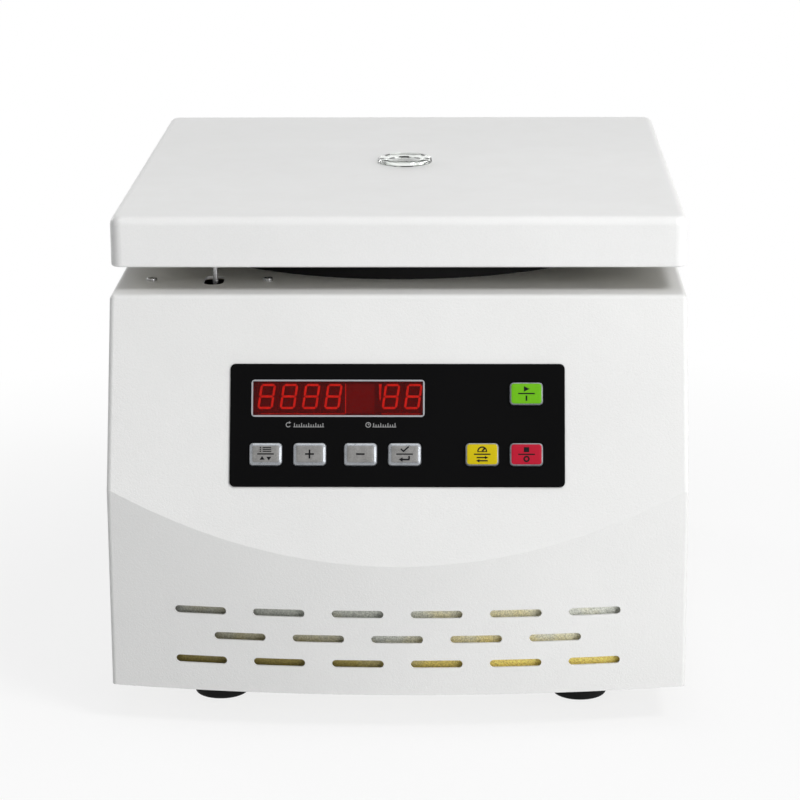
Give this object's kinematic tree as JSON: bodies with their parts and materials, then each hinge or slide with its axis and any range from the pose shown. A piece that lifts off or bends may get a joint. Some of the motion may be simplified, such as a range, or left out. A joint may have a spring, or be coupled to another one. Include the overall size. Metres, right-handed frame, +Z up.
{
  "type": "low-speed centrifuge",
  "caption": "Benchtop low-speed centrifuge: sheet-steel cabinet with a sloping keypad panel, a hinged tray lid with a view port, and an angle rotor in a steel bowl.",
  "frame": {"origin": "on the bench, at the bottom centre of the bounding box", "axes": "+X to the machine's right as seen from the front, +Y towards the rear, +Z up"},
  "size_m": [0.331, 0.436, 0.2916],
  "materials": {
    "cabinet_paint": "fine powder coat",
    "lid_paint": "fine powder coat",
    "plated_steel": "zinc plated",
    "guard_steel": "grey primer",
    "bowl_steel": "spun and brushed",
    "bright_steel": "turned",
    "hinge_steel": "plated",
    "screw_steel": "plated",
    "motor_cast": "cast",
    "rotor_aluminium": "anodised",
    "black_rubber": "moulded",
    "tube_plastic": "translucent",
    "cap_plastic": "moulded",
    "port_clear": "clear moulding",
    "white_plastic": "moulded",
    "solenoid_body": "wound coil in a frame",
    "overlay_black": "printed film",
    "bezel_grey": "moulded border",
    "display_red": "tinted acrylic",
    "digit_black": "moulded",
    "board_green": "laminate",
    "key_silver": "satin moulding",
    "key_yellow": "satin moulding",
    "key_red": "satin moulding",
    "key_green": "satin moulding",
    "black_plastic": "moulded",
    "pin_brass": "plated"
  },
  "bodies": {
    "cabinet": {"base_plate": "plated_steel", "base_screws": "screw_steel", "board_standoffs": "digit_black", "cabinet_cover": "cabinet_paint", "chamber_bowl": "bowl_steel", "chamber_gasket": "black_rubber", "control_board": "board_green", "digit_modules": "digit_black", "display_bezel": "bezel_grey", "display_window": "display_red", "feet": "black_rubber", "foot_screws": "screw_steel", "front_liner": "plated_steel", "fuse_holder": "black_plastic", "guard_ring": "guard_steel", "hinge_deck_screws": "screw_steel", "hinge_leaves_deck": "hinge_steel", "hinge_pins": "bright_steel", "inlet_pins": "pin_brass", "key_switches": "digit_black", "lock_bracket": "plated_steel", "lock_screws": "screw_steel", "lock_solenoid": "solenoid_body", "motor_bearings": "bright_steel", "motor_dampers": "black_rubber", "motor_housing": "motor_cast", "motor_plate": "plated_steel", "panel_overlay": "overlay_black", "power_board": "board_green", "power_inlet": "black_plastic", "rear_panel": "cabinet_paint", "rear_screws": "screw_steel", "rocker_frame": "black_plastic", "shaft_boot": "black_rubber", "side_panel_left": "cabinet_paint", "side_panel_right": "cabinet_paint", "support_posts": "guard_steel", "transformer": "solenoid_body"},
    "lid": {"lid_shell": "lid_paint", "lid_liner": "plated_steel", "port_window": "port_clear", "port_tube": "white_plastic", "latch_pin": "bright_steel", "hinge_leaves_lid": "hinge_steel", "hinge_lid_screws": "screw_steel"},
    "rotor_assembly": {"motor_shaft": "bright_steel", "drive_hub": "bright_steel", "rotor": "rotor_aluminium", "sample_tubes": "tube_plastic", "tube_caps": "cap_plastic", "rotor_nut": "bright_steel"},
    "lock_bolt": {"lock_bolt": "bright_steel"},
    "rocker_switch": {"rocker_switch": "black_plastic"},
    "key_menu": {"key_menu": "key_silver"},
    "key_plus": {"key_plus": "key_silver"},
    "key_minus": {"key_minus": "key_silver"},
    "key_enter": {"key_enter": "key_silver"},
    "key_mode": {"key_mode": "key_yellow"},
    "key_stop": {"key_stop": "key_red"},
    "key_start": {"key_start": "key_green"}
  },
  "joints": [
    {"name": "lid_hinge", "type": "hinge", "parent": "cabinet", "child": "lid", "pos_m": [0, 0.2064, 0.2488], "axis": [-1, 0, 0], "range_deg": [0, 75]},
    {"name": "rotor_spin", "type": "hinge", "parent": "cabinet", "child": "rotor_assembly", "pos_m": [0, 0.0234, 0.15], "axis": [0, 0, 1], "continuous": true},
    {"name": "lock_bolt_slide", "type": "slide", "parent": "cabinet", "child": "lock_bolt", "axis": [-1, 0, 0], "range_m": [0, 0.005]},
    {"name": "rocker_tilt", "type": "hinge", "parent": "cabinet", "child": "rocker_switch", "pos_m": [0.062, 0.2135, 0.0645], "axis": [1, 0, 0], "range_deg": [0, 12]},
    {"name": "key_menu_press", "type": "slide", "parent": "cabinet", "child": "key_menu", "axis": [0, 0.9285, -0.3714], "range_m": [0, 0.001], "stiffness_N_per_m": 600, "springref_m": -0.0005},
    {"name": "key_plus_press", "type": "slide", "parent": "cabinet", "child": "key_plus", "axis": [0, 0.9285, -0.3714], "range_m": [0, 0.001], "stiffness_N_per_m": 600, "springref_m": -0.0005},
    {"name": "key_minus_press", "type": "slide", "parent": "cabinet", "child": "key_minus", "axis": [0, 0.9285, -0.3714], "range_m": [0, 0.001], "stiffness_N_per_m": 600, "springref_m": -0.0005},
    {"name": "key_enter_press", "type": "slide", "parent": "cabinet", "child": "key_enter", "axis": [0, 0.9285, -0.3714], "range_m": [0, 0.001], "stiffness_N_per_m": 600, "springref_m": -0.0005},
    {"name": "key_mode_press", "type": "slide", "parent": "cabinet", "child": "key_mode", "axis": [0, 0.9285, -0.3714], "range_m": [0, 0.001], "stiffness_N_per_m": 600, "springref_m": -0.0005},
    {"name": "key_stop_press", "type": "slide", "parent": "cabinet", "child": "key_stop", "axis": [0, 0.9285, -0.3714], "range_m": [0, 0.001], "stiffness_N_per_m": 600, "springref_m": -0.0005},
    {"name": "key_start_press", "type": "slide", "parent": "cabinet", "child": "key_start", "axis": [0, 0.9285, -0.3714], "range_m": [0, 0.001], "stiffness_N_per_m": 600, "springref_m": -0.0005}
  ]
}
